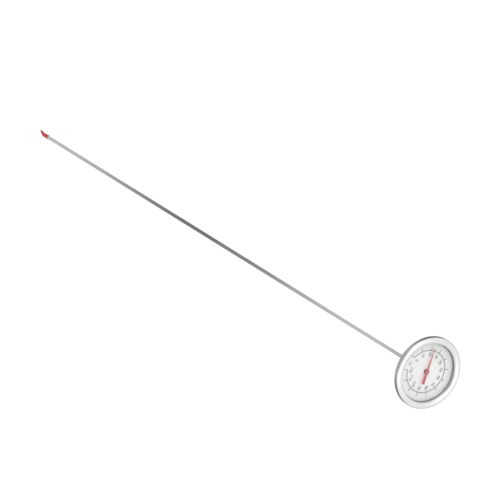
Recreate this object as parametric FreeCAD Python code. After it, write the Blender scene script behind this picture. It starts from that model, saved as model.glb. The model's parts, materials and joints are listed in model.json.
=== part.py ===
"""Long-stem bimetal dial thermometer, modelled piece by piece in millimetres.

Frame: +Z runs up the stem axis and out through the dial. The origin is on that axis, at the
underside of the hex nut, where the bare stem begins. The stem hangs down from there, and the
12 o'clock direction of the dial is +Y, so the scale reads clockwise when seen from +Z.

The stem, its hex nut and the bimetal coil's lower end are one body. The dial head turns on the
nut's spigot against a spring washer, which is how the reading is calibrated. The pointer, its
hub and the long shaft down to the coil turn with temperature. The soft tip cap pulls off.
"""

import FreeCAD, Part
import math
import os

Vec = FreeCAD.Vector
CENTRE = Vec(0, 0, 0)
Z_AXIS = Vec(0, 0, 1)

# ---------------------------------------------------------------- driving dimensions
DIAL_R = 25.0            # outside radius of the bezel
STEM_LENGTH = 500.0      # nut underside to stem tip
STEM_R = 1.25            # outside radius of the stem tube
TUBE_WALL = 0.25
SHEET = 0.5              # stamped steel of the case and bezel
HEAD_TOP = 14.5          # height of the bezel's crown above the nut underside
RUN_GAP = 0.05           # clearance between pieces that turn on each other

# 0 to 120 degrees Celsius over 324 degrees of arc, centred on +Y; stored at a room temperature
SCALE_SWEEP = 324.0
SCALE_MAX_C = 120.0
ROOM_C = 22.0
POINTER_ANGLE = SCALE_SWEEP * (ROOM_C / SCALE_MAX_C - 0.5)   # clockwise from +Y

# heights in the head, counted down from the bezel's crown
SHOULDER_Z = HEAD_TOP - 1.8   # where the bezel's rounded rim meets its plain side
LENS_TOP = HEAD_TOP - 2.15
LENS_BOTTOM = LENS_TOP - 0.8
FLANGE_TOP = LENS_BOTTOM - 0.45
FLANGE_BOTTOM = FLANGE_TOP - SHEET
BEZEL_BOTTOM = FLANGE_BOTTOM - SHEET
DIAL_TOP = HEAD_TOP - 5.05
DIAL_BOTTOM = DIAL_TOP - 0.4

# radii in the head
BEZEL_LIP_R = 20.4
BEZEL_SEAT_R = 20.95
BEZEL_CROWN_R = 22.8
BEZEL_HEM_R = 22.6
LENS_R = 23.6
GASKET_INNER_R = 20.1
FLANGE_R = 24.3
CASE_UPPER_R = 21.7
CASE_LOWER_R = 20.0
CASE_CORNER_R = 2.2
DIAL_PLATE_R = 21.0
DIAL_HOLE_R = 1.6
SPACER_INNER_R = 20.7
SPACER_OUTER_R = 21.1

# hex nut, its spigot through the case, and what holds the head on it
NUT_ACROSS_FLATS = 12.0
NUT_HEIGHT = 5.55
NUT_FACE_R = 5.7
NUT_CHAMFER_ANGLE = 30.0
SPIGOT_R = 3.5
SPIGOT_TOP = 8.0
SPIGOT_CHAMFER = 0.2
CASE_BACK = NUT_HEIGHT + RUN_GAP
CASE_FLOOR = CASE_BACK + SHEET
GROOVE_R = 3.2
GROOVE_BOTTOM = 6.95
GROOVE_TOP = 7.4
RING_OUTER_R = 5.0
RING_GAP = 2.4
RING_LUG_R = 0.95
RING_LUG_HOLE_R = 0.45
WASHER_INNER_R = 3.6
WASHER_OUTER_R = 6.5
WASHER_THICKNESS = 0.3

# stem tube and internals: the tube tapers where it is pressed into the nut, and at its swaged tip
CAP_COVER = 6.8          # length of stem inside the tip cap
SWAGE_Z = -STEM_LENGTH + CAP_COVER
TIP_R = STEM_R - 0.1
NECK_R = STEM_R - 0.1
TUBE_BORE_R = STEM_R - TUBE_WALL
TUBE_TOP = 8.2
NOSE_CENTRE_Z = -STEM_LENGTH + TIP_R
SHAFT_R = 0.35
BUSH_BORE_R = SHAFT_R + 0.03
BUSH_LENGTH = 4.0
BUSH_HEIGHTS = {"upper": TUBE_TOP - BUSH_LENGTH, "middle": -200.0, "lower": -400.0}
COIL_TURNS = 24
COIL_PITCH = 2.0
COIL_WIDTH = 1.4
COIL_THICKNESS = 0.12
COIL_MID_R = 0.83
COIL_INNER_R = COIL_MID_R - COIL_THICKNESS / 2
PLUG_TOP = NOSE_CENTRE_Z + 3.0
PLUG_PIP_TOP = PLUG_TOP + 2.5
COIL_BOTTOM = PLUG_TOP + 0.9
COIL_TOP = COIL_BOTTOM + COIL_PITCH * COIL_TURNS
COLLAR_R = COIL_INNER_R - 0.03
COLLAR_LENGTH = 4.0

# pointer, riveted between the two flanges of its hub
POINTER_BOTTOM = DIAL_TOP + 1.5
POINTER_TOP = POINTER_BOTTOM + 0.25
NEEDLE_LENGTH = 17.2
NEEDLE_POINT = 0.6
NEEDLE_ROOT_W = 1.3
NEEDLE_TIP_W = 0.5
TAIL_LENGTH = 8.4
TAIL_ROOT_W = 1.5
TAIL_END_W = 2.3
BOSS_R = 1.7
HUB_R = 1.25
HUB_NECK_R = 0.9
HUB_BOTTOM = DIAL_TOP + 0.5
HUB_FLANGE = HUB_BOTTOM + 0.4
HUB_TOP = POINTER_TOP + 0.15
HUB_CHAMFER = 0.08

# soft cap on the stem tip: a straight sleeve, then a closed end that droops towards -X
CAP_MOUTH_Z = SWAGE_Z - RUN_GAP
CAP_CLEARANCE = 0.03
CAP_MOUTH_R = 1.55
CAP_NOSE_R = 1.38
CAP_END_R = 0.6
CAP_BEND_TOP = -STEM_LENGTH - 0.6
CAP_BEND_R = 7.2
CAP_BEND_ANGLE = 39.0
CAP_BEND_STATIONS = 5


# ---------------------------------------------------------------- helpers
def lathe(steps):
    """Solid turned about Z. A step is a point (r, z), or an arc ((r, z) on it, (r, z) at its end)."""
    start = Vec(steps[0][0], 0, steps[0][1])
    here = start
    edges = []
    for step in steps[1:]:
        if isinstance(step[0], tuple):
            through = Vec(step[0][0], 0, step[0][1])
            there = Vec(step[1][0], 0, step[1][1])
            edges.append(Part.Arc(here, through, there).toShape())
        else:
            there = Vec(step[0], 0, step[1])
            edges.append(Part.makeLine(here, there))
        here = there
    edges.append(Part.makeLine(here, start))
    return Part.Face(Part.Wire(edges)).revolve(CENTRE, Z_AXIS, 360)


def on_circle(centre, radius, angle):
    """Point (r, z) on a circle of the turned outline, angle in degrees from +r towards +z."""
    a = math.radians(angle)
    return (centre[0] + radius * math.cos(a), centre[1] + radius * math.sin(a))


def ring(inner_r, outer_r, bottom, top, chamfer=0.0):
    """Flat ring, or a disc where inner_r is 0, with its outer corners chamfered when asked."""
    steps = [(inner_r, bottom), (outer_r - chamfer, bottom)]
    if chamfer:
        steps.append((outer_r, bottom + chamfer))
        steps.append((outer_r, top - chamfer))
    steps.append((outer_r - chamfer, top))
    steps.append((inner_r, top))
    return lathe(steps)


def rod(radius, bottom, top, x=0.0, y=0.0):
    return Part.makeCylinder(radius, top - bottom, Vec(x, y, bottom))


# ---------------------------------------------------------------- head
def make_case():
    """Stamped cup with a stepped wall: the step carries the dial, the flange carries the lens."""
    step_bottom = DIAL_BOTTOM - SHEET
    bend = (CASE_LOWER_R - CASE_CORNER_R, CASE_BACK + CASE_CORNER_R)
    return lathe([
        (SPIGOT_R + RUN_GAP, CASE_BACK),
        (bend[0], CASE_BACK),
        (on_circle(bend, CASE_CORNER_R, -45), (CASE_LOWER_R, bend[1])),
        (CASE_LOWER_R, step_bottom),
        (CASE_UPPER_R, step_bottom),
        (CASE_UPPER_R, FLANGE_BOTTOM),
        (FLANGE_R, FLANGE_BOTTOM),
        (FLANGE_R, FLANGE_TOP),
        (CASE_UPPER_R - SHEET, FLANGE_TOP),
        (CASE_UPPER_R - SHEET, DIAL_BOTTOM),
        (CASE_LOWER_R - SHEET, DIAL_BOTTOM),
        (CASE_LOWER_R - SHEET, bend[1]),
        (on_circle(bend, CASE_CORNER_R - SHEET, -45), (bend[0], CASE_FLOOR)),
        (SPIGOT_R + RUN_GAP, CASE_FLOOR),
    ])


def make_bezel():
    """Rolled ring: a lip on the lens, a rounded rim, a plain side, and a hem under the flange."""
    rise = HEAD_TOP - SHOULDER_Z
    rim_inside = (BEZEL_CROWN_R - 0.71 * (BEZEL_CROWN_R - BEZEL_LIP_R), SHOULDER_Z + 0.71 * rise)
    rim_outside = (BEZEL_CROWN_R + 0.71 * (DIAL_R - BEZEL_CROWN_R), SHOULDER_Z + 0.71 * rise)
    under_inside = (rim_inside[0] + 0.7 * SHEET, rim_inside[1] - 0.7 * SHEET)
    under_outside = (rim_outside[0] - 0.7 * SHEET, rim_outside[1] - 0.7 * SHEET)
    hem_r = 0.5
    hem = (DIAL_R - hem_r, BEZEL_BOTTOM + hem_r)
    return lathe([
        (BEZEL_LIP_R, LENS_TOP),
        (BEZEL_LIP_R, SHOULDER_Z),
        (rim_inside, (BEZEL_CROWN_R, HEAD_TOP)),
        (rim_outside, (DIAL_R, SHOULDER_Z)),
        (DIAL_R, hem[1]),
        (on_circle(hem, hem_r, -45), (hem[0], BEZEL_BOTTOM)),
        (BEZEL_HEM_R, BEZEL_BOTTOM),
        (BEZEL_HEM_R, FLANGE_BOTTOM),
        (DIAL_R - SHEET, FLANGE_BOTTOM),
        (DIAL_R - SHEET, SHOULDER_Z),
        (under_outside, (BEZEL_CROWN_R, HEAD_TOP - SHEET)),
        (under_inside, (BEZEL_SEAT_R, LENS_TOP)),
    ])


def make_lens():
    return ring(0, LENS_R, LENS_BOTTOM, LENS_TOP, 0.2)


def make_lens_gasket():
    return ring(GASKET_INNER_R, LENS_R, FLANGE_TOP, LENS_BOTTOM)


def make_spacer_ring():
    """Thin steel band that holds the dial down on its step."""
    return ring(SPACER_INNER_R, SPACER_OUTER_R, DIAL_TOP, FLANGE_TOP)


def make_dial_plate():
    return ring(DIAL_HOLE_R, DIAL_PLATE_R, DIAL_BOTTOM, DIAL_TOP)


# ---------------------------------------------------------------- nut and head retention
def make_hex_nut():
    """Hexagon with its corners turned down at both ends, and a grooved spigot through the case."""
    corner_r = NUT_ACROSS_FLATS / math.sqrt(3)
    angles = [math.radians(60 * k) for k in range(7)]
    outline = Part.makePolygon([Vec(corner_r * math.cos(a), corner_r * math.sin(a), 0) for a in angles])
    hexagon = Part.Face(outline).extrude(Vec(0, 0, NUT_HEIGHT))
    drop = (corner_r - NUT_FACE_R) * math.tan(math.radians(NUT_CHAMFER_ANGLE))
    turned = lathe([
        (0, 0),
        (NUT_FACE_R, 0),
        (corner_r, drop),
        (corner_r, NUT_HEIGHT - drop),
        (NUT_FACE_R, NUT_HEIGHT),
        (0, NUT_HEIGHT),
    ])
    spigot = lathe([
        (0, NUT_HEIGHT / 2),
        (SPIGOT_R, NUT_HEIGHT / 2),
        (SPIGOT_R, GROOVE_BOTTOM),
        (GROOVE_R, GROOVE_BOTTOM),
        (GROOVE_R, GROOVE_TOP),
        (SPIGOT_R, GROOVE_TOP),
        (SPIGOT_R, SPIGOT_TOP - SPIGOT_CHAMFER),
        (SPIGOT_R - SPIGOT_CHAMFER, SPIGOT_TOP),
        (0, SPIGOT_TOP),
    ])
    bore = Part.makeCone(STEM_R, NECK_R, TUBE_TOP)
    return hexagon.common(turned).fuse(spigot).cut(bore).removeSplitter()


def make_friction_washer():
    """Dished spring washer, held under the retaining ring, that presses on the case floor."""
    low = CASE_FLOOR + RUN_GAP
    high = GROOVE_BOTTOM - WASHER_THICKNESS
    return lathe([
        (WASHER_INNER_R, high),
        (WASHER_OUTER_R, low),
        (WASHER_OUTER_R, low + WASHER_THICKNESS),
        (WASHER_INNER_R, high + WASHER_THICKNESS),
    ])


def make_retaining_ring():
    """Open snap ring in the spigot's groove, with a plier hole in each of its two lugs."""
    band = ring(GROOVE_R, RING_OUTER_R, GROOVE_BOTTOM, GROOVE_TOP)
    lug_y = RING_OUTER_R - 0.1
    lug_xs = [side * (RING_GAP / 2 + RING_LUG_R) for side in (-1, 1)]
    for x in lug_xs:
        band = band.fuse(rod(RING_LUG_R, GROOVE_BOTTOM, GROOVE_TOP, x, lug_y))
    for x in lug_xs:
        band = band.cut(rod(RING_LUG_HOLE_R, GROOVE_BOTTOM - 1, GROOVE_TOP + 1, x, lug_y))
    gap = Part.makeBox(RING_GAP, RING_OUTER_R, 2, Vec(-RING_GAP / 2, 0, GROOVE_BOTTOM - 1))
    return band.cut(gap).removeSplitter()


# ---------------------------------------------------------------- stem
def make_stem_tube():
    return lathe([
        (TUBE_BORE_R, NOSE_CENTRE_Z),
        (TIP_R, NOSE_CENTRE_Z),
        (STEM_R, SWAGE_Z),
        (STEM_R, 0),
        (NECK_R, TUBE_TOP),
        (TUBE_BORE_R, TUBE_TOP),
    ])


def make_tip_plug():
    """Round nose welded into the tube, with a pip that the coil's lower end is fixed to."""
    return lathe([
        (0, -STEM_LENGTH),
        (on_circle((0, NOSE_CENTRE_Z), TIP_R, -45), (TIP_R, NOSE_CENTRE_Z)),
        (TUBE_BORE_R, NOSE_CENTRE_Z),
        (TUBE_BORE_R, PLUG_TOP),
        (COIL_INNER_R, PLUG_TOP),
        (COIL_INNER_R, PLUG_PIP_TOP),
        (0, PLUG_PIP_TOP),
    ])


def make_bimetal_coil():
    """Ribbon of bimetal wound as a helix just inside the tube's bore."""
    outer_r = COIL_INNER_R + COIL_THICKNESS
    half_w = COIL_WIDTH / 2
    section = Part.makePolygon([
        Vec(COIL_INNER_R, 0, -half_w),
        Vec(outer_r, 0, -half_w),
        Vec(outer_r, 0, half_w),
        Vec(COIL_INNER_R, 0, half_w),
        Vec(COIL_INNER_R, 0, -half_w),
    ])
    helix = Part.makeHelix(COIL_PITCH, COIL_PITCH * COIL_TURNS, COIL_MID_R)
    coil = Part.Wire(helix).makePipeShell([section], True, True)
    coil.translate(Vec(0, 0, COIL_BOTTOM))
    return coil


def make_transmission_shaft():
    """Thin rod from the coil's upper end to the pointer hub."""
    return rod(SHAFT_R, COIL_TOP - COLLAR_LENGTH, HUB_TOP)


def make_coil_collar():
    """Sleeve on the shaft's lower end, which the coil's upper end is fixed to."""
    return ring(SHAFT_R, COLLAR_R, COIL_TOP - COLLAR_LENGTH, COIL_TOP, 0.1)


def make_guide_bush(bottom):
    """Bearing that keeps the shaft in the middle of the tube."""
    return ring(BUSH_BORE_R, TUBE_BORE_R, bottom, bottom + BUSH_LENGTH, 0.15)


# ---------------------------------------------------------------- pointer
def make_pointer():
    """Flat needle with a boss at the hub and a tail, wider at its end, that balances it."""
    half = [
        (TAIL_END_W / 2, -TAIL_LENGTH),
        (TAIL_ROOT_W / 2, 0),
        (NEEDLE_ROOT_W / 2, 0),
        (NEEDLE_TIP_W / 2, NEEDLE_LENGTH - NEEDLE_POINT),
    ]
    right = [Vec(x, y, 0) for x, y in half]
    left = [Vec(-x, y, 0) for x, y in reversed(half)]
    outline = Part.makePolygon(right + [Vec(0, NEEDLE_LENGTH, 0)] + left + right[:1])
    thickness = POINTER_TOP - POINTER_BOTTOM
    blade = Part.Face(outline).extrude(Vec(0, 0, thickness))
    pointer = blade.fuse(rod(BOSS_R, 0, thickness))
    pointer = pointer.cut(rod(HUB_NECK_R, -1, thickness + 1)).removeSplitter()
    pointer.rotate(CENTRE, Z_AXIS, -POINTER_ANGLE)
    pointer.translate(Vec(0, 0, POINTER_BOTTOM))
    return pointer


def make_pointer_hub():
    """Turned hub pressed on the shaft, with a flange below the pointer and a rivet head above."""
    return lathe([
        (SHAFT_R, HUB_BOTTOM),
        (HUB_NECK_R, HUB_BOTTOM),
        (HUB_NECK_R, HUB_FLANGE),
        (HUB_R, HUB_FLANGE),
        (HUB_R, POINTER_BOTTOM),
        (HUB_NECK_R, POINTER_BOTTOM),
        (HUB_NECK_R, POINTER_TOP),
        (HUB_R, POINTER_TOP),
        (HUB_R, HUB_TOP - HUB_CHAMFER),
        (HUB_R - HUB_CHAMFER, HUB_TOP),
        (SHAFT_R, HUB_TOP),
    ])


# ---------------------------------------------------------------- tip cap
def make_tip_cap():
    """Dipped vinyl cap: a sleeve over the stem tip that narrows into a drooping closed end."""
    rings = [
        (Vec(0, 0, CAP_MOUTH_Z), -Z_AXIS, CAP_MOUTH_R),
        (Vec(0, 0, CAP_MOUTH_Z - 1.2), -Z_AXIS, CAP_MOUTH_R - 0.05),
        (Vec(0, 0, CAP_BEND_TOP), -Z_AXIS, CAP_NOSE_R),
    ]
    for k in range(1, CAP_BEND_STATIONS + 1):
        share = k / CAP_BEND_STATIONS
        a = math.radians(CAP_BEND_ANGLE * share)
        place = Vec(-CAP_BEND_R * (1 - math.cos(a)), 0, CAP_BEND_TOP - CAP_BEND_R * math.sin(a))
        heading = Vec(-math.sin(a), 0, -math.cos(a))
        rings.append((place, heading, CAP_NOSE_R + (CAP_END_R - CAP_NOSE_R) * share))
    body = Part.makeLoft([Part.Wire(Part.makeCircle(r, p, d)) for p, d, r in rings], True)
    body = body.fuse(Part.makeSphere(CAP_END_R, rings[-1][0]))
    nose_r = TIP_R + CAP_CLEARANCE
    bore = Part.makeCone(nose_r, STEM_R + CAP_CLEARANCE, SWAGE_Z - NOSE_CENTRE_Z, Vec(0, 0, NOSE_CENTRE_Z))
    bore = bore.fuse(Part.makeSphere(nose_r, Vec(0, 0, NOSE_CENTRE_Z)))
    return body.cut(bore).removeSplitter()


# ---------------------------------------------------------------- write the pieces
pieces = {
    "case": make_case(),
    "bezel": make_bezel(),
    "lens": make_lens(),
    "lens_gasket": make_lens_gasket(),
    "spacer_ring": make_spacer_ring(),
    "dial_plate": make_dial_plate(),
    "hex_nut": make_hex_nut(),
    "friction_washer": make_friction_washer(),
    "retaining_ring": make_retaining_ring(),
    "stem_tube": make_stem_tube(),
    "tip_plug": make_tip_plug(),
    "bimetal_coil": make_bimetal_coil(),
    "coil_collar": make_coil_collar(),
    "transmission_shaft": make_transmission_shaft(),
    "pointer": make_pointer(),
    "pointer_hub": make_pointer_hub(),
    "tip_cap": make_tip_cap(),
}
for where, height in BUSH_HEIGHTS.items():
    pieces[f"guide_bush_{where}"] = make_guide_bush(height)

os.makedirs("parts", exist_ok=True)
for name, shape in pieces.items():
    if not shape.isValid() or len(shape.Solids) != 1:
        raise SystemExit(f"{name}: valid {shape.isValid()}, {len(shape.Solids)} solids")
    shape.exportStep(f"parts/{name}.step")
    print(f"{name:20s} volume {shape.Volume:10.3f} mm3")
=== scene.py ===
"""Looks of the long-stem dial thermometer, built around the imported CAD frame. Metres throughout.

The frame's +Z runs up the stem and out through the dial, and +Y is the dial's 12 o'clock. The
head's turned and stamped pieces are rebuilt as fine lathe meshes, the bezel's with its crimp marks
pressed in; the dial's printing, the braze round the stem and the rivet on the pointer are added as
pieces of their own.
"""
import json
import math

import bmesh
import bpy
from mathutils import Matrix, Vector


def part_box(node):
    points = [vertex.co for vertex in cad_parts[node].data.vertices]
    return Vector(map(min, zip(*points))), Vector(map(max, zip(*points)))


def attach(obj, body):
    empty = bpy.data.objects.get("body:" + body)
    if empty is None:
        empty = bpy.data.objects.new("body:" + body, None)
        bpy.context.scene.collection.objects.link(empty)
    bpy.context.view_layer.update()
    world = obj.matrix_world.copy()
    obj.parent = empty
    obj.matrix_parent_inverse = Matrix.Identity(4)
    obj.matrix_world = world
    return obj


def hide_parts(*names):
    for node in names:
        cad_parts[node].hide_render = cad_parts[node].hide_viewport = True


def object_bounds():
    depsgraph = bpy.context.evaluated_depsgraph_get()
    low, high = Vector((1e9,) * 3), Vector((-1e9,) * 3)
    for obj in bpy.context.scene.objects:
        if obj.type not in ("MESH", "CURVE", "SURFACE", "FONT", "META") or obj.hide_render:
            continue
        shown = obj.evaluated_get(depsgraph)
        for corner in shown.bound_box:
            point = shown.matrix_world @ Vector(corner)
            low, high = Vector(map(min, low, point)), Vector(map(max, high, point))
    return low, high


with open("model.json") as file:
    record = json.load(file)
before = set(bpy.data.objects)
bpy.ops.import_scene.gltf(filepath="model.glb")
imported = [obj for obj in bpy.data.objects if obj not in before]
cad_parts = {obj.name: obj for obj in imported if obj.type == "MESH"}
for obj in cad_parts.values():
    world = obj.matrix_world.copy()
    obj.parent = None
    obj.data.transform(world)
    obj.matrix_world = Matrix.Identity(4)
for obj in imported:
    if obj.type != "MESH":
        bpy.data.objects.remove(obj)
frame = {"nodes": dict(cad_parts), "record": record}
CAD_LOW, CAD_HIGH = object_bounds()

MM = 0.001
TURN = 2 * math.pi

# ---------------------------------------------------------------- the view
VIEW_AZIMUTH = 3.39          # degrees, 0 looks along +Y
VIEW_ELEVATION = 52.52
VIEW_ROLL = 121.69           # the object lies aslant in the frame, dial at the lower right
VIEW_DISTANCE = 4.4334
VIEW_LENS = 465.7            # on a 36 mm sensor
AIM = Vector((-7.23, 0.43, -220.7)) * MM

# ---------------------------------------------------------------- the dial's scale
SCALE_SWEEP = 324.0
SCALE_TOP_C = 120


# ---------------------------------------------------------------- mesh helpers
def new_piece(name, mesh, material, sharp=30.0):
    """Object from a mesh, shaded smooth except across edges sharper than the angle given."""
    for face in mesh.polygons:
        face.use_smooth = True
    mesh.set_sharp_from_angle(angle=math.radians(sharp))
    mesh.materials.append(material)
    piece = bpy.data.objects.new(name, mesh)
    bpy.context.scene.collection.objects.link(piece)
    return piece


def mesh_from(bm, name):
    """Mesh of a bmesh, which is freed."""
    mesh = bpy.data.meshes.new(name)
    bm.to_mesh(mesh)
    bm.free()
    return mesh


def solid_mesh(bm, name):
    """Mesh of a closed bmesh, its faces turned outwards first."""
    bmesh.ops.recalc_face_normals(bm, faces=bm.faces)
    return mesh_from(bm, name)


def bridge(bm, near, far):
    """Faces between two loops of the same number of vertices."""
    for k in range(len(near)):
        j = (k + 1) % len(near)
        bm.faces.new((near[k], near[j], far[j], far[k]))


def oval(centre, half_width, rise, start, end, steps):
    """Points (r, z) on an upright oval, in degrees from +r towards +z, both ends included."""
    points = []
    for k in range(steps + 1):
        a = math.radians(start + (end - start) * k / steps)
        points.append((centre[0] + half_width * math.cos(a), centre[1] + rise * math.sin(a)))
    return points


def arc(centre, arc_r, start, end, steps):
    """Points (r, z) on a round arc, in degrees from +r towards +z, both ends included."""
    return oval(centre, arc_r, arc_r, start, end, steps)


def lathe_mesh(name, outline, sides, shift=None):
    """Closed outline of (r, z) points turned about Z. A point with r = 0 becomes a pole.

    shift(r, z, angle) may return a moved (r, z) for dents and ripples.
    """
    bm = bmesh.new()
    rings = []
    for r, z in outline:
        if r == 0:
            rings.append([bm.verts.new((0, 0, z))])
            continue
        ring = []
        for k in range(sides):
            a = TURN * k / sides
            rr, zz = shift(r, z, a) if shift else (r, z)
            ring.append(bm.verts.new((rr * math.cos(a), rr * math.sin(a), zz)))
        rings.append(ring)
    for lower, upper in zip(rings, rings[1:] + rings[:1]):
        if len(lower) == len(upper) == 1:
            continue
        if len(lower) == len(upper):
            bridge(bm, lower, upper)
            continue
        for k in range(sides):
            j = (k + 1) % sides
            if len(lower) == 1:
                bm.faces.new((lower[0], upper[j], upper[k]))
            else:
                bm.faces.new((lower[k], lower[j], upper[0]))
    return solid_mesh(bm, name)


def tightened(outline, margin=0.05 * MM):
    """The outline with a point near each end of its long runs, which keeps their shading flat."""
    shortest_run = 6 * margin
    points = []
    for here, there in zip(outline, outline[1:] + outline[:1]):
        points.append(here)
        length = math.dist(here, there)
        if length > shortest_run:
            for share in (margin / length, 1 - margin / length):
                points.append(tuple(a + (b - a) * share for a, b in zip(here, there)))
    return points


def lathe(name, outline, material, sides=192, sharp=30.0, shift=None):
    """Turned piece with a closed outline, long runs tightened."""
    return new_piece(name, lathe_mesh(name, tightened(outline), sides, shift), material, sharp)


def add_piece(piece, body, slot=None, *nodes):
    """Rides the piece on a body, and stands for the nodes named; the slot is not used."""
    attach(piece, body)
    if nodes:
        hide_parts(*nodes)


# ---------------------------------------------------------------- material helpers
class Nodes:
    """Short names for building a Principled material's node tree."""

    def __init__(self, name):
        self.material = bpy.data.materials.new(name)
        self.material.use_nodes = True
        self.tree = self.material.node_tree
        self.shader = self.tree.nodes["Principled BSDF"]
        self.where = self.add("ShaderNodeTexCoord").outputs["Object"]

    def add(self, kind, **values):
        node = self.tree.nodes.new(kind)
        for key, value in values.items():
            if hasattr(node, key):
                setattr(node, key, value)
            else:
                node.inputs[key.replace("_", " ")].default_value = value
        return node

    def link(self, source, target):
        self.tree.links.new(source, target)

    def set(self, **values):
        for key, value in values.items():
            self.shader.inputs[key.replace("_", " ")].default_value = value

    def math(self, operation, a, b=None):
        node = self.add("ShaderNodeMath", operation=operation)
        for socket, value in zip(node.inputs, (a, b)):
            if value is None:
                continue
            if isinstance(value, (int, float)):
                socket.default_value = value
            else:
                self.link(value, socket)
        return node.outputs[0]

    def ramp(self, source, low, high, to_low, to_high):
        node = self.add("ShaderNodeMapRange", From_Min=low, From_Max=high,
                        To_Min=to_low, To_Max=to_high)
        self.link(source, node.inputs["Value"])
        return node.outputs["Result"]

    def noise(self, scale, detail=3.0, rough=0.5, at=None):
        node = self.add("ShaderNodeTexNoise", Scale=scale, Detail=detail, Roughness=rough)
        self.link(at or self.where, node.inputs["Vector"])
        return node.outputs["Fac"]

    def scaled(self, x, y, z):
        node = self.add("ShaderNodeMapping")
        node.inputs["Scale"].default_value = (x, y, z)
        self.link(self.where, node.inputs["Vector"])
        return node.outputs["Vector"]

    def axes(self):
        """Object coordinates as separate x, y and z."""
        split = self.add("ShaderNodeSeparateXYZ")
        self.link(self.where, split.inputs[0])
        return split.outputs

    def distance(self, x, y):
        squares = [self.math("MULTIPLY", value, value) for value in (x, y)]
        return self.math("SQRT", self.math("ADD", *squares))

    def joined(self, *values):
        join = self.add("ShaderNodeCombineXYZ")
        for value, socket in zip(values, join.inputs):
            self.link(value, socket)
        return join.outputs[0]

    def polar(self, around, outward, along):
        """Object coordinates as (angle * around, radius * outward, z * along), for turned grain."""
        x, y, z = self.axes()
        return self.joined(
            self.math("MULTIPLY", self.math("ARCTAN2", y, x), around),
            self.math("MULTIPLY", self.distance(x, y), outward),
            self.math("MULTIPLY", z, along),
        )

    def colours(self, source, *stops):
        node = self.add("ShaderNodeValToRGB")
        elements = node.color_ramp.elements
        while len(elements) < len(stops):
            elements.new(0.5)
        for element, (place, colour) in zip(elements, stops):
            element.position = place
            element.color = (*colour, 1.0)
        self.link(source, node.inputs["Fac"])
        return node.outputs["Color"]

    def bump(self, height, strength, distance):
        node = self.add("ShaderNodeBump", Strength=strength, Distance=distance)
        self.link(height, node.inputs["Height"])
        last = self.shader.inputs["Normal"]
        if last.links:
            self.link(last.links[0].from_socket, node.inputs["Normal"])
        self.link(node.outputs["Normal"], last)

    def drive(self, socket, source):
        self.link(source, self.shader.inputs[socket])


def metal(name, dark, light, rough_low, rough_high, grain, grain_bump, smudge=60.0):
    """Bare metal: grain(n) gives the coordinates its fine lines follow; smudges vary the gloss."""
    n = Nodes(name)
    n.set(Metallic=1.0)
    lines = n.noise(1.0, 4.0, 0.6, at=grain(n))
    clouds = n.noise(smudge, 3.0, 0.55)
    n.drive("Base Color", n.colours(clouds, (0.30, dark), (0.70, light)))
    base = n.ramp(clouds, 0.3, 0.7, rough_low, rough_high)
    n.drive("Roughness", n.math("ADD", base, n.ramp(lines, 0.3, 0.7, -0.03, 0.03)))
    n.bump(lines, grain_bump, 0.02 * MM)
    return n.material


def grey(value, tint=0.0):
    return (value, value, value + tint)


# ---------------------------------------------------------------- materials
bezel_steel = metal("bezel_steel", grey(0.70), grey(0.76, 0.01), 0.07, 0.14,
                    lambda n: n.polar(1.5, 9000, 9000), 0.10)
case_steel = metal("case_steel", grey(0.56), grey(0.64, 0.01), 0.24, 0.34,
                   lambda n: n.polar(2.0, 14000, 14000), 0.30)
stem_steel = metal("stem_steel", grey(0.58), grey(0.68, 0.01), 0.13, 0.21,
                   lambda n: n.polar(0.6, 1000, 5200), 0.25, smudge=35.0)
nut_steel = metal("nut_steel", grey(0.55), grey(0.66, 0.01), 0.22, 0.32,
                  lambda n: n.polar(1.5, 16000, 5000), 0.35)
spring_steel = metal("spring_steel", grey(0.30), grey(0.40, 0.01), 0.30, 0.42,
                     lambda n: n.polar(1.0, 9000, 9000), 0.20)
spacer_steel = metal("spacer_steel", grey(0.60, 0.02), grey(0.68, 0.02), 0.26, 0.36,
                     lambda n: n.polar(1.0, 2000, 12000), 0.20)
shaft_steel = metal("shaft_steel", grey(0.50), grey(0.60, 0.01), 0.22, 0.32,
                    lambda n: n.polar(1.0, 2000, 9000), 0.20)
rivet_steel = metal("rivet_steel", grey(0.52), grey(0.62, 0.01), 0.22, 0.32,
                    lambda n: n.polar(1.0, 12000, 9000), 0.15)
braze_silver = metal("braze_silver", (0.60, 0.57, 0.50), (0.72, 0.69, 0.61), 0.30, 0.45,
                     lambda n: n.scaled(2500, 2500, 2500), 0.40, smudge=500.0)
brass = metal("turned_brass", (0.62, 0.45, 0.20), (0.74, 0.57, 0.28), 0.22, 0.34,
              lambda n: n.polar(1.0, 9000, 9000), 0.25, smudge=300.0)
# Brass darkened to paint the shade down in the dial's centre hole, where the upper bush shows.
painted_shade_brass = metal("painted_shade_brass", (0.14, 0.115, 0.07), (0.22, 0.18, 0.10), 0.34, 0.46,
                   lambda n: n.polar(1.0, 9000, 9000), 0.25, smudge=300.0)
bimetal = metal("bimetal_strip", (0.50, 0.44, 0.34), (0.62, 0.56, 0.44), 0.30, 0.42,
                lambda n: n.polar(4.0, 4000, 9000), 0.20, smudge=300.0)


def make_glass():
    n = Nodes("lens_glass")
    n.set(Base_Color=(0.985, 0.995, 0.99, 1.0), Roughness=0.0, IOR=1.5)
    n.set(Transmission_Weight=1.0)
    return n.material


def make_enamel():
    """White baked enamel with a faint orange peel and a slightly warmer, duller patchiness."""
    n = Nodes("dial_enamel")
    clouds = n.noise(90.0, 4.0, 0.6)
    n.drive("Base Color", n.colours(clouds, (0.35, (0.80, 0.80, 0.79)),
                                    (0.65, (0.84, 0.84, 0.83))))
    n.drive("Roughness", n.ramp(clouds, 0.3, 0.7, 0.30, 0.42))
    n.bump(n.noise(2600.0, 2.0), 0.12, 0.01 * MM)
    return n.material


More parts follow.
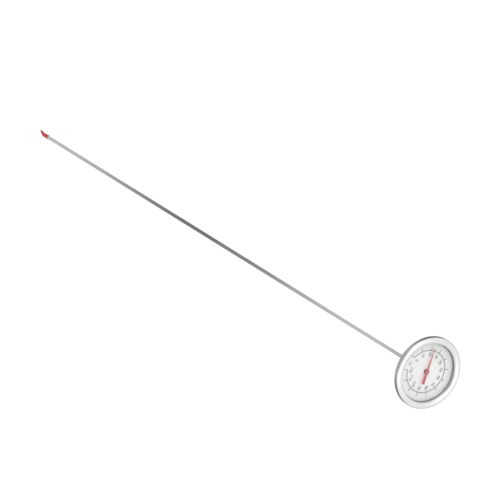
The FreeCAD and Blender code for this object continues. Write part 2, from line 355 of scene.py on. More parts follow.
def make_ink():
    """Near-black matt ink, a little uneven."""
    n = Nodes("dial_ink")
    clouds = n.noise(1800.0, 3.0)
    n.drive("Base Color", n.colours(clouds, (0.3, grey(0.075, 0.005)),
                                    (0.7, grey(0.115, 0.008))))
    n.drive("Roughness", n.ramp(clouds, 0.3, 0.7, 0.45, 0.6))
    return n.material


def make_red_paint():
    """Red enamel under a thin coat, on the pointer and its hub."""
    n = Nodes("pointer_paint")
    clouds = n.noise(900.0, 3.0)
    n.drive("Base Color", n.colours(clouds, (0.3, (0.46, 0.008, 0.026)),
                                    (0.7, (0.56, 0.014, 0.038))))
    n.drive("Roughness", n.ramp(clouds, 0.3, 0.7, 0.28, 0.40))
    n.set(Coat_Weight=0.25, Coat_Roughness=0.2)
    n.bump(n.noise(5000.0, 2.0), 0.15, 0.01 * MM)
    return n.material


def make_rubber():
    """Matt grey rubber, paler than the record's so that it matches the photo under the lens."""
    n = Nodes("gasket_rubber")
    clouds = n.noise(700.0, 4.0)
    n.drive("Base Color", n.colours(clouds, (0.3, grey(0.27)), (0.7, grey(0.33))))
    n.drive("Roughness", n.ramp(clouds, 0.3, 0.7, 0.55, 0.75))
    n.bump(clouds, 0.3, 0.03 * MM)
    return n.material


CAP_REDS = (                 # share of the cap's height from its drawn-out end, and colour
    (0.02, (0.09, 0.008, 0.012)), (0.22, (0.33, 0.009, 0.014)),
    (0.55, (0.48, 0.013, 0.019)), (0.95, (0.44, 0.011, 0.017)),
)


def make_vinyl():
    """Soft dipped vinyl: saturated red, satin, darker towards its drawn-out end."""
    n = Nodes("cap_vinyl")
    low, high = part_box("tip_cap")
    up = n.ramp(n.axes()[2], low.z, high.z, 0.0, 1.0)
    clouds = n.noise(450.0, 3.0)
    shade = n.math("ADD", up, n.ramp(clouds, 0.3, 0.7, -0.05, 0.05))
    n.drive("Base Color", n.colours(shade, *CAP_REDS))
    n.drive("Roughness", n.ramp(clouds, 0.3, 0.7, 0.34, 0.50))
    n.set(Subsurface_Weight=0.12, Subsurface_Scale=0.6 * MM, Subsurface_Radius=(1.0, 0.25, 0.15))
    n.bump(n.noise(1500.0, 4.0), 0.25, 0.03 * MM)
    return n.material


lens_glass = make_glass()
dial_enamel = make_enamel()
dial_ink = make_ink()
pointer_paint = make_red_paint()
gasket_rubber = make_rubber()
cap_vinyl = make_vinyl()


# ---------------------------------------------------------------- heights and radii from the frame
def top(node):
    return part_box(node)[1].z


def bottom(node):
    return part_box(node)[0].z


def radius(node):
    low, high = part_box(node)
    return (high.x - low.x) / 2


STEM_MOUNT = frame["record"]["mounts"][0]["dims"]
STEM_R = STEM_MOUNT["r_mm"] * MM
SWAGE_Z = -STEM_MOUNT["length_mm"] * MM
STEM_TIP = bottom("tip_plug")
TUBE_TOP = top("stem_tube")
NOSE_Z = bottom("stem_tube")
TIP_R = NOSE_Z - STEM_TIP    # the nose is a half ball
BORE_R = radius("guide_bush_middle")
BEZEL_R = radius("bezel")
BEZEL_TOP = top("bezel")
BEZEL_BOTTOM = bottom("bezel")
LENS_TOP = top("lens")
LENS_BOTTOM = bottom("lens")
DIAL_TOP = top("dial_plate")
CASE_TOP = top("case")
CASE_BACK = bottom("case")
SHEET = 0.5 * MM             # the stamped steel's thickness


def set_material(node, material):
    """Gives a CAD node that already has the right shape its finished material."""
    for holder in frame["nodes"][node].material_slots:
        holder.material = material


def bow(start, end, height, steps):
    """Points from start to end, both included, bowed to the left of the way by height."""
    dx, dz = end[0] - start[0], end[1] - start[1]
    length = math.hypot(dx, dz)
    points = []
    for k in range(steps + 1):
        s = k / steps
        lift = height * 4 * s * (1 - s) / length
        points.append((start[0] + dx * s - dz * lift, start[1] + dz * s + dx * lift))
    return points


# ---------------------------------------------------------------- bezel
CRIMP_COUNT = 90
CRIMP_DEPTH = 0.05 * MM


def crimp(r, z, angle):
    """Tool marks where the hem was rolled under the case's flange."""
    on_hem = z < BEZEL_BOTTOM + 0.15 * MM and r < BEZEL_R - 0.4 * MM
    if not on_hem:
        return r, z
    wave = max(0.0, math.cos(CRIMP_COUNT * angle)) ** 2
    return r, z + CRIMP_DEPTH * wave


def make_bezel():
    """Rolled ring: lip on the lens, rounded rim, side with a rolled line, crimped hem."""
    lip_r, seat_r, crown_r = 20.4 * MM, 20.95 * MM, 22.8 * MM
    shoulder = LENS_TOP + 0.35 * MM
    rise = BEZEL_TOP - shoulder
    crown = (crown_r, shoulder)
    lip_edge = 0.05 * MM
    line_z, line_half, line_depth = BEZEL_BOTTOM + 1.1 * MM, 0.22 * MM, 0.09 * MM
    hem_r, hem_inner, hem_edge = 0.5 * MM, 22.6 * MM, 0.06 * MM
    crimp_outer, crimp_inner = BEZEL_R - 0.9 * MM, hem_inner + 0.5 * MM
    flange_bottom = BEZEL_BOTTOM + SHEET
    outline = [(lip_r + lip_edge, LENS_TOP), (lip_r, LENS_TOP + lip_edge)]
    outline += oval(crown, crown_r - lip_r, rise, 180, 94, 20)
    outline += oval(crown, BEZEL_R - crown_r, rise, 90, 0, 20)
    outline += bow((BEZEL_R, line_z + line_half), (BEZEL_R, line_z - line_half), -line_depth, 6)
    outline += arc((BEZEL_R - hem_r, BEZEL_BOTTOM + hem_r), hem_r, 0, -90, 8)
    outline += [(crimp_outer, BEZEL_BOTTOM), (crimp_inner, BEZEL_BOTTOM)]
    outline += [(hem_inner + hem_edge, BEZEL_BOTTOM), (hem_inner, BEZEL_BOTTOM + hem_edge)]
    outline += [(hem_inner, flange_bottom), (BEZEL_R - SHEET, flange_bottom)]
    outline += oval(crown, BEZEL_R - crown_r - SHEET, rise - SHEET, 0, 90, 8)
    outline += oval(crown, crown_r - seat_r, rise - SHEET, 98, 180, 8)
    outline.append((seat_r, LENS_TOP))
    return lathe("bezel_rolled", outline, bezel_steel, sides=360, sharp=40, shift=crimp)


add_piece(make_bezel(), "head", "bezel_steel", "bezel")


# ---------------------------------------------------------------- case
def make_case():
    """Stamped cup: two rings pressed in its back, rounded and stepped wall, flange at the rim."""
    hole_r = 3.55 * MM
    lower_r, upper_r = 20.0 * MM, 21.7 * MM
    inside = upper_r - SHEET
    bend_r = 2.2 * MM
    bend = (lower_r - bend_r, CASE_BACK + bend_r)
    dial_bottom = bottom("dial_plate")
    step_bottom = dial_bottom - SHEET
    flange_r = radius("case")
    flange_bottom = CASE_TOP - SHEET
    ease, mouth_edge = 0.3 * MM, 0.2 * MM
    pressed_z = CASE_BACK + 0.02 * MM
    outline = [(hole_r, CASE_BACK), (8.0 * MM, CASE_BACK)]
    for start, end, depth, steps in ((8.2, 9.6, 0.22, 8), (15.0, 15.8, 0.10, 6)):
        outline += bow((start * MM, pressed_z), (end * MM, pressed_z), depth * MM, steps)
    outline += arc(bend, bend_r, -90, 0, 14)
    outline += arc((lower_r + ease, step_bottom - ease), ease, 180, 90, 5)
    outline += arc((upper_r - ease, step_bottom + ease), ease, -90, 0, 5)
    outline += arc((upper_r + ease, flange_bottom - ease), ease, 180, 90, 5)
    outline += [(flange_r, flange_bottom), (flange_r, CASE_TOP), (inside + mouth_edge, CASE_TOP)]
    outline += [(inside, CASE_TOP - mouth_edge), (inside, dial_bottom)]
    outline += [(lower_r - SHEET, dial_bottom)]
    outline += arc(bend, bend_r - SHEET, 0, -90, 8)
    outline += [(hole_r, CASE_BACK + SHEET)]
    return lathe("case_stamped", outline, case_steel, sides=240, sharp=35)


add_piece(make_case(), "head", "case_steel", "case")

# ---------------------------------------------------------------- lens, gasket, spacer, dial
lens_r, lens_edge = radius("lens"), 0.2 * MM
lens = lathe("lens_pane", [
    (0, LENS_BOTTOM), (lens_r - lens_edge, LENS_BOTTOM), (lens_r, LENS_BOTTOM + lens_edge),
    (lens_r, LENS_TOP - lens_edge), (lens_r - lens_edge, LENS_TOP), (0, LENS_TOP),
], lens_glass)
lens.visible_shadow = False
add_piece(lens, "head", "lens_glass", "lens")

set_material("lens_gasket", gasket_rubber)


def make_spacer():
    """Thin rolled band between dial and flange, with eased edges."""
    inner, outer = 20.7 * MM, radius("spacer_ring")
    low, high = bottom("spacer_ring"), top("spacer_ring")
    edge = 0.1 * MM
    return lathe("spacer_band", [
        (inner + edge, low), (outer, low), (outer, high), (inner + edge, high),
        (inner, high - edge), (inner, low + edge),
    ], spacer_steel, sides=240)


add_piece(make_spacer(), "head", "spacer_steel", "spacer_ring")


def make_dial():
    """Flat enamelled disc with a turned-over edge and a round hole for the shaft."""
    hole_r, outer = 1.6 * MM, radius("dial_plate")
    low = bottom("dial_plate")
    edge = 0.1 * MM
    return lathe("dial_disc", [
        (hole_r, low), (outer, low), (outer, DIAL_TOP - edge), (outer - edge, DIAL_TOP),
        (hole_r + edge, DIAL_TOP), (hole_r, DIAL_TOP - edge),
    ], dial_enamel)


add_piece(make_dial(), "head", "dial_paint", "dial_plate")


# ---------------------------------------------------------------- the dial's printing
INK_LOW = DIAL_TOP + 0.004 * MM
INK_HIGH = DIAL_TOP + 0.03 * MM
SCALE_R = 14.64 * MM
SCALE_LINE = 0.45 * MM
MAJOR_STEP_C, MAJOR_END_R, MAJOR_WIDTH = 10, 17.2 * MM, 0.5 * MM
MINOR_STEP_C, MINOR_END_R, MINOR_WIDTH = 2, 15.7 * MM, 0.2 * MM
NUMBER_R, NUMBER_SIZE = 11.9 * MM, 3.0 * MM
UNIT_R, UNIT_SIZE = 14.9 * MM, 2.8 * MM


def scale_angle(celsius):
    """Degrees clockwise from 12 o'clock at which the scale shows a temperature."""
    return SCALE_SWEEP * (celsius / SCALE_TOP_C - 0.5)


def on_dial(r, angle):
    """The point (x, y) at a radius and at degrees clockwise from 12 o'clock."""
    a = math.radians(angle)
    return r * math.sin(a), r * math.cos(a)


def add_slab(bm, outline):
    """Thin closed prism of ink over an outline of (x, y) points."""
    lower = [bm.verts.new((x, y, INK_LOW)) for x, y in outline]
    upper = [bm.verts.new((x, y, INK_HIGH)) for x, y in outline]
    bm.faces.new(upper)
    bm.faces.new(lower[::-1])
    bridge(bm, lower, upper)


def add_band(bm, inner, outer, start, end, steps):
    """Arc of ink between two radii, as one closed strip."""
    rows = []
    for k in range(steps + 1):
        angle = start + (end - start) * k / steps
        corners = []
        for r, z in ((inner, INK_LOW), (outer, INK_LOW), (outer, INK_HIGH), (inner, INK_HIGH)):
            x, y = on_dial(r, angle)
            corners.append(bm.verts.new((x, y, z)))
        rows.append(corners)
    for near, far in zip(rows, rows[1:]):
        bridge(bm, near, far)
    bm.faces.new(rows[0][::-1])
    bm.faces.new(rows[-1])


def add_tick(bm, inner, outer, width, angle):
    """Straight mark of ink that points at the dial's centre."""
    a = math.radians(angle)
    across = (math.cos(a) * width / 2, -math.sin(a) * width / 2)
    near, far = on_dial(inner, angle), on_dial(outer, angle)
    add_slab(bm, [
        (near[0] - across[0], near[1] - across[1]), (far[0] - across[0], far[1] - across[1]),
        (far[0] + across[0], far[1] + across[1]), (near[0] + across[0], near[1] + across[1]),
    ])


def make_scale():
    """Ring over the scale's sweep, long marks every 10 degrees Celsius and short ones every 2."""
    bm = bmesh.new()
    ring_inner, ring_outer = SCALE_R - SCALE_LINE / 2, SCALE_R + SCALE_LINE / 2
    tick_start = ring_outer + 0.01 * MM      # clear of the ring, so that no ink overlaps
    half = SCALE_SWEEP / 2
    add_band(bm, ring_inner, ring_outer, -half, half, 216)
    for celsius in range(0, SCALE_TOP_C + 1, MINOR_STEP_C):
        end_r, width = MINOR_END_R, MINOR_WIDTH
        if celsius % MAJOR_STEP_C == 0:
            end_r, width = MAJOR_END_R, MAJOR_WIDTH
        add_tick(bm, tick_start, end_r, width, scale_angle(celsius))
    return new_piece("dial_scale", solid_mesh(bm, "dial_scale"), dial_ink)


def text_mesh(body, size):
    """Closed mesh of a printed word, centred on the origin, in Blender's own plain font."""
    curve = bpy.data.curves.new("word", "FONT")
    curve.body = body
    curve.size = size
    curve.align_x, curve.align_y = "CENTER", "CENTER"
    curve.resolution_u = 4
    curve.extrude = (INK_HIGH - INK_LOW) / 2
    curve.offset = size * 0.012
    word = bpy.data.objects.new("word", curve)
    mesh = bpy.data.meshes.new_from_object(word)
    bpy.data.objects.remove(word)
    bpy.data.curves.remove(curve)
    return mesh


def make_lettering():
    """Numbers of the scale inside its ring, and the unit in the gap at 6 o'clock."""
    words = [(str(c), NUMBER_SIZE, NUMBER_R, scale_angle(c))
             for c in range(0, SCALE_TOP_C + 1, MAJOR_STEP_C)]
    words.append(("°C", UNIT_SIZE, UNIT_R, 180.0))
    middle_z = (INK_LOW + INK_HIGH) / 2
    bm = bmesh.new()
    for body, size, r, angle in words:
        mesh = text_mesh(body, size)
        lows = [min(v.co[axis] for v in mesh.vertices) for axis in range(2)]
        highs = [max(v.co[axis] for v in mesh.vertices) for axis in range(2)]
        centre = [(a + b) / 2 for a, b in zip(lows, highs)]
        x, y = on_dial(r, angle)
        mesh.transform(Matrix.Translation((x - centre[0], y - centre[1], middle_z)))
        bm.from_mesh(mesh)
        bpy.data.meshes.remove(mesh)
    bmesh.ops.remove_doubles(bm, verts=bm.verts, dist=0.0005 * MM)
    return new_piece("dial_numbers", solid_mesh(bm, "dial_numbers"), dial_ink)


add_piece(make_scale(), "head")
add_piece(make_lettering(), "head")

# ---------------------------------------------------------------- pointer
POINTER_LOW = bottom("pointer")
POINTER_HIGH = top("pointer")
HUB_LOW = bottom("pointer_hub")
HUB_HIGH = top("pointer_hub")
HUB_R = radius("pointer_hub")
ROOM_C = 22                  # what the pointer shows at rest

# Millimetres from the pointer's pivot, and half widths
TAIL_END, NEEDLE_END, POINT_END = 8.4, 16.6, 17.2
TAIL_NARROW, TAIL_WIDE = 0.75, 1.15
NEEDLE_WIDE, NEEDLE_NARROW, POINT_NARROW = 0.65, 0.25, 0.06
BOSS_R = 1.7


def pointer_half_width(y):
    """Outline of the pointer along its length, in millimetres: tail, boss, needle, point."""
    if y > NEEDLE_END:
        share = (y - NEEDLE_END) / (POINT_END - NEEDLE_END)
        return NEEDLE_NARROW + (POINT_NARROW - NEEDLE_NARROW) * share
    if y < 0:
        blade = TAIL_NARROW + (TAIL_WIDE - TAIL_NARROW) * -y / TAIL_END
    else:
        blade = NEEDLE_WIDE + (NEEDLE_NARROW - NEEDLE_WIDE) * y / NEEDLE_END
    boss = math.sqrt(max(0.0, BOSS_R ** 2 - y ** 2))
    return max(blade, boss)


def make_pointer():
    """Pressed blade with a faint ridge down its middle, flat round the hub."""
    boss_steps = 24
    ys = [-TAIL_END, -8.25, -8.0, -6.5, -5.0, -3.5, -2.5]
    ys += [-BOSS_R + 2 * BOSS_R * k / boss_steps for k in range(boss_steps + 1)]
    ys += [2.2, 3.0, 4.5, 6.5, 8.5, 10.5, 12.5, 14.5, 16.0, NEEDLE_END, 17.0, POINT_END]
    rounding = {ys[0]: 0.18, ys[1]: 0.05}    # taken off the tail's corners
    flat_r, ridge_run, ridge = 1.5, 1.2, 0.10
    edge = 0.04
    low, high = POINTER_LOW / MM, POINTER_HIGH / MM
    bm = bmesh.new()
    rows = []
    for y in ys:
        w = pointer_half_width(y) - rounding.get(y, 0.0)
        fall = ridge * min(1.0, max(0.0, (abs(y) - flat_r) / ridge_run))
        loop = [
            (-w + edge, low), (w - edge, low), (w, low + edge), (w, high - fall - edge),
            (w - edge, high - fall), (0, high), (-w + edge, high - fall),
            (-w, high - fall - edge), (-w, low + edge),
        ]
        rows.append([bm.verts.new((x * MM, y * MM, z * MM)) for x, z in loop])
    for near, far in zip(rows, rows[1:]):
        bridge(bm, near, far)
    bm.faces.new(rows[0][::-1])
    bm.faces.new(rows[-1])
    mesh = solid_mesh(bm, "pointer_blade")
    mesh.transform(Matrix.Rotation(math.radians(-scale_angle(ROOM_C)), 4, "Z"))
    return new_piece("pointer_blade", mesh, pointer_paint, sharp=25)


add_piece(make_pointer(), "rotor", "pointer_paint", "pointer")

shaft_r = radius("transmission_shaft")
neck_r, neck_edge = 0.9 * MM, 0.08 * MM
flange_low, flange_edge = HUB_LOW + 0.4 * MM, 0.06 * MM
dish_r, dish_slope, dish_floor = 0.56 * MM, 0.08 * MM, HUB_HIGH - 0.06 * MM
hub = lathe("pointer_boss", [
    (shaft_r, HUB_LOW), (neck_r - neck_edge, HUB_LOW), (neck_r, HUB_LOW + neck_edge),
    (neck_r, flange_low), (HUB_R - flange_edge, flange_low), (HUB_R, flange_low + flange_edge),
    (HUB_R, POINTER_LOW), (neck_r, POINTER_LOW), (neck_r, POINTER_HIGH), (HUB_R, POINTER_HIGH),
    (HUB_R, HUB_HIGH - 0.09 * MM), (HUB_R - 0.04 * MM, HUB_HIGH - 0.03 * MM),
    (HUB_R - 0.12 * MM, HUB_HIGH), (dish_r, HUB_HIGH), (dish_r - dish_slope, dish_floor),
    (shaft_r, dish_floor),
], pointer_paint, sides=64, sharp=40)
add_piece(hub, "rotor", "hub_paint", "pointer_hub")

rivet_r, rivet_low, rivet_high = 0.46 * MM, HUB_HIGH - 0.05 * MM, HUB_HIGH + 0.10 * MM
rivet_bore, rivet_floor = shaft_r + 0.01 * MM, HUB_HIGH + 0.01 * MM
rivet = lathe("pointer_rivet", [
    (rivet_bore, rivet_low), (rivet_r, rivet_low), (rivet_r, rivet_low + 0.07 * MM),
    (rivet_r - 0.04 * MM, rivet_low + 0.11 * MM), (0.30 * MM, rivet_high - 0.02 * MM),
    (0.15 * MM, rivet_high), (0, rivet_high), (0, rivet_floor), (rivet_bore, rivet_floor),
], rivet_steel, sides=48, sharp=50)
add_piece(rivet, "rotor")

set_material("transmission_shaft", shaft_steel)
set_material("coil_collar", brass)
set_material("bimetal_coil", bimetal)
for place in ("middle", "lower"):
    set_material(f"guide_bush_{place}", brass)
# Painted shade: the upper bush gets the darkened brass so that the dial's centre hole looks dark.
set_material("guide_bush_upper", painted_shade_brass)
set_material("friction_washer", spring_steel)
set_material("retaining_ring", spring_steel)

# ---------------------------------------------------------------- nut
NUT_CORNER, NUT_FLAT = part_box("hex_nut")[1].xy
CORNER_BLUNT = 0.12 * MM
CHAMFER_SLOPE = math.tan(math.radians(30))
NUT_FACE_R = 5.7 * MM
NUT_HIGH = CASE_BACK - 0.05 * MM


def hexagon(r, z, angle):
    """Points at the corners' radius are pulled in to the hexagon and follow the turned chamfer."""
    if r < NUT_CORNER * 0.99:
        return r, z
    off_flat = (math.degrees(angle) % 60) - 30
    flat = NUT_FLAT / math.cos(math.radians(off_flat))
    reach = min(flat, NUT_CORNER - CORNER_BLUNT)
    drop = max(0.0, reach - NUT_FACE_R) * CHAMFER_SLOPE
    return reach, (drop if z < NUT_HIGH / 2 else NUT_HIGH - drop)


def make_nut():
    """Hexagon with turned chamfers, and the grooved spigot that stands up through the case."""
    spigot_r, groove_r = 3.5 * MM, 3.2 * MM
    groove_low, groove_high = bottom("retaining_ring"), top("retaining_ring")
    spigot_high = top("hex_nut")
    edge, bore_edge, bore_flare = 0.2 * MM, 0.1 * MM, 0.15 * MM
    play = 0.002 * MM
    bore_top = STEM_R - 0.1 * MM + play
    return lathe("hex_nut_turned", [
        (STEM_R + bore_flare, 0), (NUT_FACE_R, 0), (NUT_CORNER, 0), (NUT_CORNER, NUT_HIGH),
        (NUT_FACE_R, NUT_HIGH), (spigot_r, NUT_HIGH), (spigot_r, groove_low),
        (groove_r, groove_low), (groove_r, groove_high), (spigot_r, groove_high),
        (spigot_r, spigot_high - edge), (spigot_r - edge, spigot_high),
        (bore_top + bore_edge, spigot_high), (bore_top, spigot_high - bore_edge),
        (STEM_R + play, bore_flare),
    ], nut_steel, sides=240, sharp=20, shift=hexagon)


add_piece(make_nut(), "stem", "nut_steel", "hex_nut")

# ---------------------------------------------------------------- stem
tube = lathe("stem_tube_drawn", [
    (BORE_R, NOSE_Z), (TIP_R, NOSE_Z),
    (TIP_R + 0.05 * MM, (NOSE_Z + SWAGE_Z) / 2), (STEM_R, SWAGE_Z),
    (STEM_R, 0), (STEM_R - 0.1 * MM, TUBE_TOP - 0.06 * MM), (STEM_R - 0.14 * MM, TUBE_TOP),
    (BORE_R + 0.04 * MM, TUBE_TOP), (BORE_R, TUBE_TOP - 0.04 * MM),
], stem_steel, sides=96, sharp=35)
add_piece(tube, "stem", "stem_steel", "stem_tube")

pip_r, pip_edge, pip_top = 0.77 * MM, 0.1 * MM, top("tip_plug")
plug_top = NOSE_Z + 3.0 * MM
plug = lathe("tip_plug_welded", [(0, STEM_TIP)] + arc((0, NOSE_Z), TIP_R, -84, 0, 14) + [
    (BORE_R, NOSE_Z), (BORE_R, plug_top), (pip_r, plug_top), (pip_r, pip_top - pip_edge),
    (pip_r - pip_edge, pip_top), (0, pip_top),
], stem_steel, sides=96, sharp=50)
add_piece(plug, "stem", "stem_steel", "tip_plug")

braze_r, braze_low = STEM_R + 0.65 * MM, -0.55 * MM
braze = lathe("stem_braze", [(STEM_R + 0.001 * MM, braze_low)]
              + bow((STEM_R + 0.05 * MM, braze_low), (braze_r, -0.05 * MM), 0.12 * MM, 8)
              + [(braze_r, 0), (STEM_R + 0.001 * MM, 0)], braze_silver, sides=96, sharp=60)
add_piece(braze, "stem")


# ---------------------------------------------------------------- tip cap
CAP_SIDES = 64
CAP_MOUTH_R, CAP_NOSE_R, CAP_END_R = 1.55 * MM, 1.38 * MM, 0.7 * MM
CAP_CLEAR = 0.03 * MM        # between the cap's bore and the stem
CAP_RIPPLE = 0.006           # share of the radius by which the dipped skin wanders
CAP_MOUTH = (                # depth below the mouth and swell past its radius, in millimetres
    (0.0, -0.12), (0.06, -0.03), (0.20, 0.02), (0.45, 0.03), (0.75, -0.02), (1.1, -0.05),
    (1.6, -0.06),
)


def cap_outside():
    """Rings (place, tilt, r) of the cap's skin from its mouth down, and the pole that ends them."""
    mouth = top("tip_cap")
    rings = [(Vector((0, 0, mouth - depth * MM)), 0.0, CAP_MOUTH_R + swell * MM)
             for depth, swell in CAP_MOUTH]
    bend_top = STEM_TIP + 0.7 * MM
    sleeve_top, sleeve_r = mouth - CAP_MOUTH[-1][0] * MM, CAP_MOUTH_R + CAP_MOUTH[-1][1] * MM
    for share in (0.1, 0.2, 0.3, 0.4, 0.5, 0.6, 0.7, 0.8, 0.9, 1.0):
        place = Vector((0, 0, sleeve_top + (bend_top - sleeve_top) * share))
        rings.append((place, 0.0, sleeve_r + (CAP_NOSE_R - sleeve_r) * share))
    bend_r, bend_angle, tail = 6.0 * MM, math.radians(15.0), 4.15 * MM
    bend_run = bend_r * bend_angle
    heading = Vector((-math.sin(bend_angle), 0, -math.cos(bend_angle)))
    droops, taper = 16, 1.15
    for k in range(1, droops + 1):
        run = (bend_run + tail) * k / droops
        a = min(run / bend_r, bend_angle)
        place = Vector((-bend_r * (1 - math.cos(a)), 0, bend_top - bend_r * math.sin(a)))
        place += heading * max(0.0, run - bend_run)
        rings.append((place, a, CAP_NOSE_R + (CAP_END_R - CAP_NOSE_R) * (k / droops) ** taper))
    ball = rings[-1][0]
    for angle in (15, 30, 45, 60, 75):
        a = math.radians(angle)
        rings.append((ball + heading * CAP_END_R * math.sin(a), bend_angle,
                      CAP_END_R * math.cos(a)))
    return rings, ball + heading * CAP_END_R


def cap_bore():
    """Rings (place, tilt, r) of the cap's hollow from its mouth down, and its deepest point."""
    mouth = top("tip_cap")
    flare, flare_depth = 0.08 * MM, 0.1 * MM
    nose_r = TIP_R + CAP_CLEAR
    bore = [(mouth, STEM_R + CAP_CLEAR + flare), (mouth - flare_depth, STEM_R + CAP_CLEAR),
            (NOSE_Z, nose_r)]
    for angle in (20, 40, 60, 78):
        a = math.radians(angle)
        bore.append((NOSE_Z - nose_r * math.sin(a), nose_r * math.cos(a)))
    return [(Vector((0, 0, z)), 0.0, r) for z, r in bore], Vector((0, 0, NOSE_Z - nose_r))


def cap_loop(bm, place, tilt, r, ripple):
    """Loop of vertices round a tilted ring, which wanders from round by the ripple."""
    turn = Matrix.Rotation(tilt, 3, "Y")
    loop = []
    for k in range(CAP_SIDES):
        a = TURN * k / CAP_SIDES
        wander = 0.6 * math.sin(3 * a + place.z * 900) + 0.4 * math.sin(5 * a - place.z * 2300)
        rr = r * (1 + ripple * wander)
        loop.append(bm.verts.new(place + turn @ Vector((rr * math.cos(a), rr * math.sin(a), 0))))
    return loop


def make_cap():
    """Dipped vinyl cap: rolled mouth, straight sleeve, tapering end that droops towards -X."""
    bm = bmesh.new()
    rings, end_pole = cap_outside()
    bore, bore_pole = cap_bore()
    outer = [cap_loop(bm, *ring, CAP_RIPPLE) for ring in rings]
    inner = [cap_loop(bm, *ring, 0.0) for ring in bore]
    loops = outer[::-1] + inner
    for near, far in zip(loops, loops[1:]):
        bridge(bm, near, far)
    tip = bm.verts.new(end_pole)
    well = bm.verts.new(bore_pole)
    for k in range(CAP_SIDES):
        j = (k + 1) % CAP_SIDES
        bm.faces.new((tip, loops[0][k], loops[0][j]))
        bm.faces.new((well, loops[-1][j], loops[-1][k]))
    return new_piece("tip_cap_dipped", solid_mesh(bm, "tip_cap_dipped"), cap_vinyl, sharp=60)


add_piece(make_cap(), "tip_cap", "cap_vinyl", "tip_cap")


# ---------------------------------------------------------------- stage, lights and camera
FLOOR_Z = CAD_LOW.z - 40 * MM
FLOOR_R = 6.0
CLOTH_Z = FLOOR_Z + 1 * MM
CLOTH_R = (0.004, 1.6)       # inner and outer radius of the ring
CLOTH_SHADES = (             # radius and grey
    (0.0, 0.60), (0.060, 0.58), (0.090, 0.50), (0.120, 0.40), (0.150, 0.24), (0.180, 0.18),
    (0.215, 0.18), (0.250, 0.24), (0.285, 0.34), (0.320, 0.50), (0.360, 0.66), (0.400, 0.72),
    (0.432, 0.72), (0.440, 0.14), (0.480, 0.05), (1.20, 0.05), (1.6, 0.70),
)
CLOTH_FRONT = (-0.7, 0.1, 0.34, 0.0)     # y over radius at the paler part's ends, and greys
CLOTH_FRONT_EDGE = (0.434, 0.450)        # radii over which the paler part comes in


def make_sheet(name, radii, z, material, sides=96):
    """Flat round sheet, or a ring where two radii are given."""
    bm = bmesh.new()
    turns = [TURN * k / sides for k in range(sides)]
    rings = [[bm.verts.new((r * math.cos(a), r * math.sin(a), z)) for a in turns] for r in radii]
    if len(rings) == 1:
        bm.faces.new(rings[0])
    else:
        bridge(bm, rings[1], rings[0])
    mesh = mesh_from(bm, name)
    mesh.materials.append(material)
    sheet = bpy.data.objects.new(name, mesh)
    bpy.context.scene.collection.objects.link(sheet)
    return sheet


def paper_material():
    """White studio paper."""
    n = Nodes("floor_paper")
    n.set(Roughness=0.9)
    n.drive("Base Color", n.colours(n.noise(1.5, 2.0), (0.3, grey(0.86)), (0.7, grey(0.88))))
    return n.material


def cloth_material():
    """Grey cloth that only the metal's reflections show: dark further out, less so towards -Y."""
    n = Nodes("reflection_cloth")
    n.set(Roughness=0.95)
    x, y, _ = n.axes()
    r = n.distance(x, y)
    place = n.ramp(r, 0.0, CLOTH_R[1], 0.0, 1.0)
    stops = [(at / CLOTH_R[1], grey(value)) for at, value in CLOTH_SHADES]
    front = n.ramp(n.math("DIVIDE", y, r), *CLOTH_FRONT)
    front = n.math("MULTIPLY", front, n.ramp(r, *CLOTH_FRONT_EDGE, 0.0, 1.0))
    shade = n.math("MAXIMUM", n.colours(place, *stops), front)
    n.drive("Base Color", n.joined(shade, shade, shade))
    return n.material


def make_key_light():
    """Soft square lamp above the head, to -X and -Y of it, aimed at the origin."""
    light = bpy.data.lights.new("key", "AREA")
    light.shape = "RECTANGLE"
    light.size = light.size_y = 1.6
    light.energy = 10
    lamp = bpy.data.objects.new("key", light)
    bpy.context.scene.collection.objects.link(lamp)
    lamp.location = (-1.2, -1.0, 2.2)
    lamp.rotation_euler = (-lamp.location).to_track_quat("-Z", "Y").to_euler()


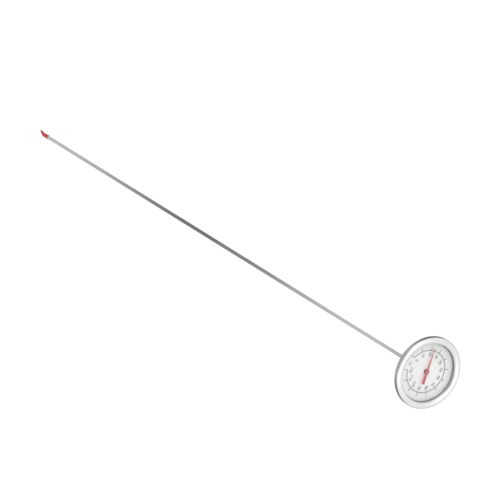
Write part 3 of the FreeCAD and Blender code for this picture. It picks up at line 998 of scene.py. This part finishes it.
def make_world():
    """White dome: brightest overhead and to -Y of it, dimmer low down, dimmest low in the -Y."""
    world = bpy.data.worlds.new("studio")
    bpy.context.scene.world = world
    world.use_nodes = True
    tree = world.node_tree
    backdrop = tree.nodes["Background"]
    where = tree.nodes.new("ShaderNodeTexCoord")

    def glow(towards, start, end, low, high):
        """Level that eases from low to high as the angle from the direction given closes."""
        facing = tree.nodes.new("ShaderNodeVectorMath")
        facing.operation = "DOT_PRODUCT"
        tree.links.new(where.outputs["Generated"], facing.inputs[0])
        facing.inputs[1].default_value = Vector(towards).normalized()
        level = tree.nodes.new("ShaderNodeMapRange")
        level.interpolation_type = "SMOOTHSTEP"
        tree.links.new(facing.outputs["Value"], level.inputs["Value"])
        for key, value in (("From Min", start), ("From Max", end),
                           ("To Min", low), ("To Max", high)):
            level.inputs[key].default_value = value
        return level.outputs["Result"]

    def product(a, b):
        node = tree.nodes.new("ShaderNodeMath")
        node.operation = "MULTIPLY"
        tree.links.new(a, node.inputs[0])
        tree.links.new(b, node.inputs[1])
        return node.outputs[0]

    overhead = glow((0, -0.34, 0.94), 0.45, 0.95, 1.08, 1.46)
    horizon = glow((0, 0, 1), 0.0, 0.35, 0.78, 1.0)
    front = glow((0, -0.985, 0.17), 0.70, 0.95, 1.0, 0.48)
    tree.links.new(product(product(overhead, horizon), front), backdrop.inputs["Strength"])
    backdrop.inputs["Color"].default_value = (1, 1, 1, 1)


def make_camera():
    """Camera at the photograph's viewing angle, looking at AIM."""
    azimuth, elevation = math.radians(VIEW_AZIMUTH), math.radians(VIEW_ELEVATION)
    out = math.cos(elevation)
    back = Vector((-math.sin(azimuth) * out, -math.cos(azimuth) * out, math.sin(elevation)))
    camera = bpy.data.objects.new("camera", bpy.data.cameras.new("camera"))
    bpy.context.scene.collection.objects.link(camera)
    camera.data.lens = VIEW_LENS
    camera.data.sensor_width = 36.0
    camera.data.clip_end = 100.0
    upright = back.to_track_quat("Z", "Y").to_matrix().to_4x4()
    roll = Matrix.Rotation(math.radians(VIEW_ROLL), 4, "Z")
    camera.matrix_world = Matrix.Translation(AIM + back * VIEW_DISTANCE) @ upright @ roll
    bpy.context.scene.camera = camera


make_sheet("floor", (FLOOR_R,), FLOOR_Z, paper_material())
cloth = make_sheet("reflection_cloth", CLOTH_R, CLOTH_Z, cloth_material())
cloth.visible_camera = False
cloth.visible_diffuse = False
cloth.visible_shadow = False
cloth.visible_transmission = False
make_world()
make_key_light()
make_camera()
bpy.context.scene.view_settings.view_transform = "Standard"
